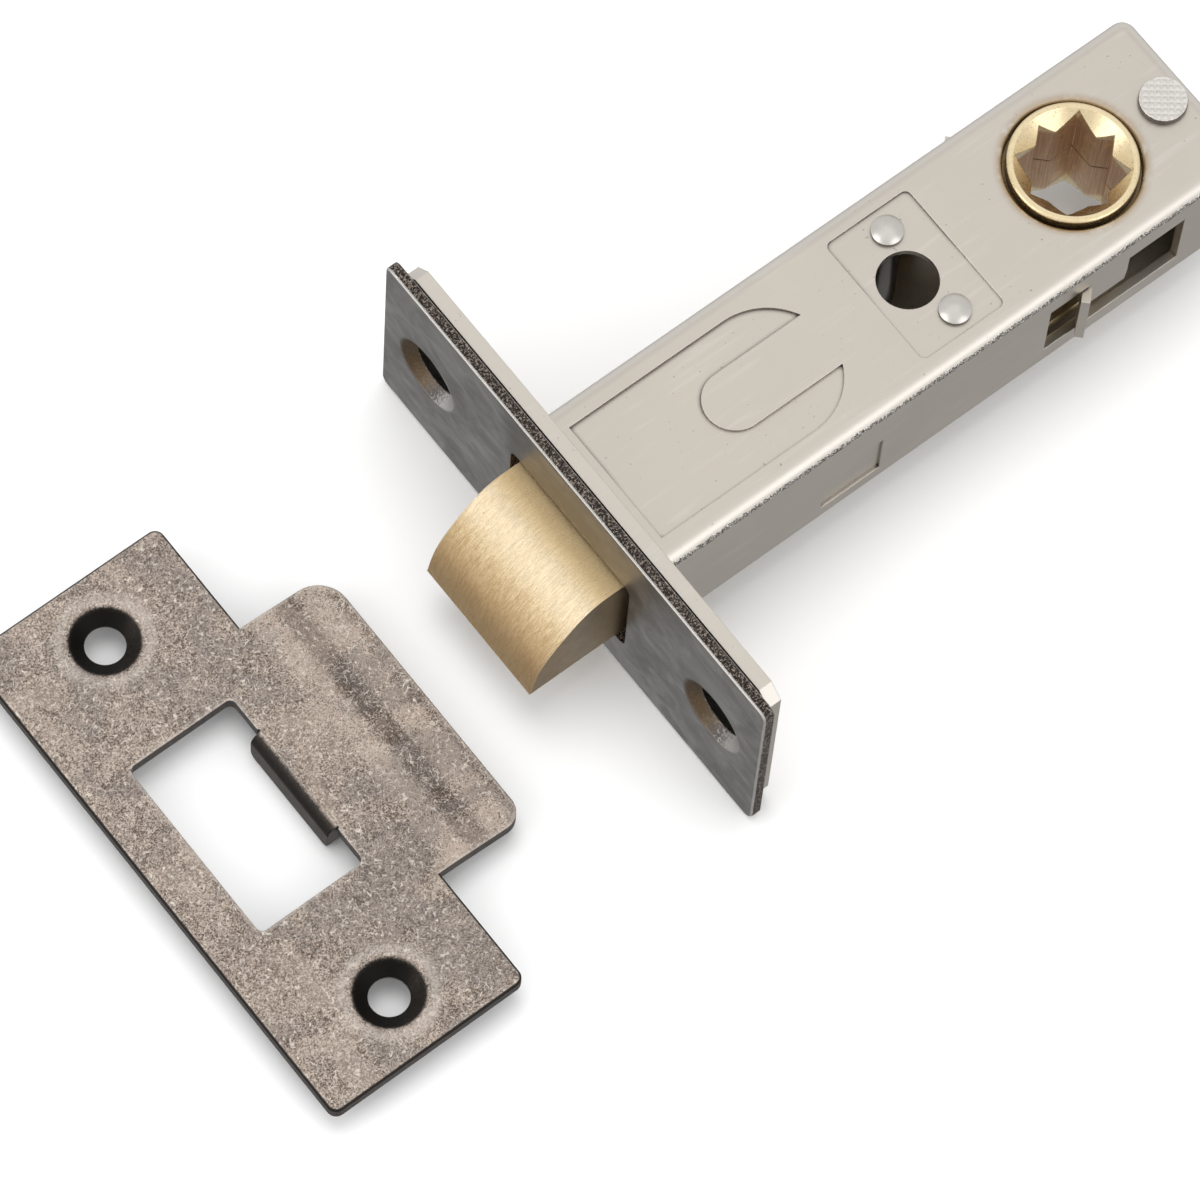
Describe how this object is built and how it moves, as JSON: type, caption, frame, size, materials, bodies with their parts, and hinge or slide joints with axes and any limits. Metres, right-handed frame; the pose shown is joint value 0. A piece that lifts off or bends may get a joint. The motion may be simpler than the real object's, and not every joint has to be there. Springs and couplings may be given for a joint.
{
  "type": "tubular mortice latch",
  "caption": "Sprung mortice latch: rectangular pressed case, bevelled brass bolt through a slim faceplate, star follower for a square spindle, with its loose lipped strike plate.",
  "frame": {"origin": "middle of the faceplate's front face, where the latch sits flush in the door's edge", "axes": "+X into the door along the case; +Z along the spindle, towards the bolt's bevelled side; +Y along the faceplate"},
  "size_m": [0.1239, 0.058, 0.025],
  "materials": {
    "aged_nickel": "rumbled nickel plate, mottled, rubbed lighter along the edges",
    "nickel_plate": "satin nickel-plated pressed steel",
    "bright_nickel": "bright nickel-plated steel",
    "brass": "brushed bare brass",
    "passivated_steel": "yellow passivated zinc plate on pressed steel",
    "spring_steel": "drawn spring wire, lightly oiled"
  },
  "bodies": {
    "latch_case": {"faceplate": "aged_nickel", "inner_forend": "nickel_plate", "case_channel": "nickel_plate", "case_cover": "nickel_plate", "pillar_rivet_left": "bright_nickel", "pillar_rivet_right": "bright_nickel", "rear_post": "bright_nickel", "spring_bracket": "passivated_steel", "spring_pilot": "passivated_steel", "bolt_spring": "spring_steel"},
    "bolt": {"latch_bolt": "brass", "drawbar": "passivated_steel", "drawbar_rivets": "passivated_steel"},
    "follower_top": {"follower_upper": "brass"},
    "follower_bottom": {"follower_lower": "brass"},
    "strike": {"strike_plate": "aged_nickel"}
  },
  "joints": [
    {"name": "bolt_slide", "type": "slide", "parent": "latch_case", "child": "bolt", "axis": [1, 0, 0], "range_m": [0, 0.0104], "stiffness_N_per_m": 350, "springref_m": -0.01, "deforming": ["bolt_spring"]},
    {"name": "follower_upper_turn", "type": "hinge", "parent": "latch_case", "child": "follower_top", "pos_m": [0.06, 0, 0], "axis": [0, 0, 1], "range_deg": [0, 83]},
    {"name": "follower_lower_turn", "type": "hinge", "parent": "latch_case", "child": "follower_bottom", "pos_m": [0.06, 0, 0], "axis": [0, 0, 1], "range_deg": [0, 83]},
    {"name": "strike_lift", "type": "slide", "parent": "latch_case", "child": "strike", "axis": [0, 0, 1], "range_m": [0, 0.012]}
  ],
  "couplings": [
    {"joint": "follower_upper_turn", "follows": "bolt_slide", "rad_per_m": 139.2},
    {"joint": "follower_lower_turn", "follows": "bolt_slide", "rad_per_m": 139.2}
  ]
}
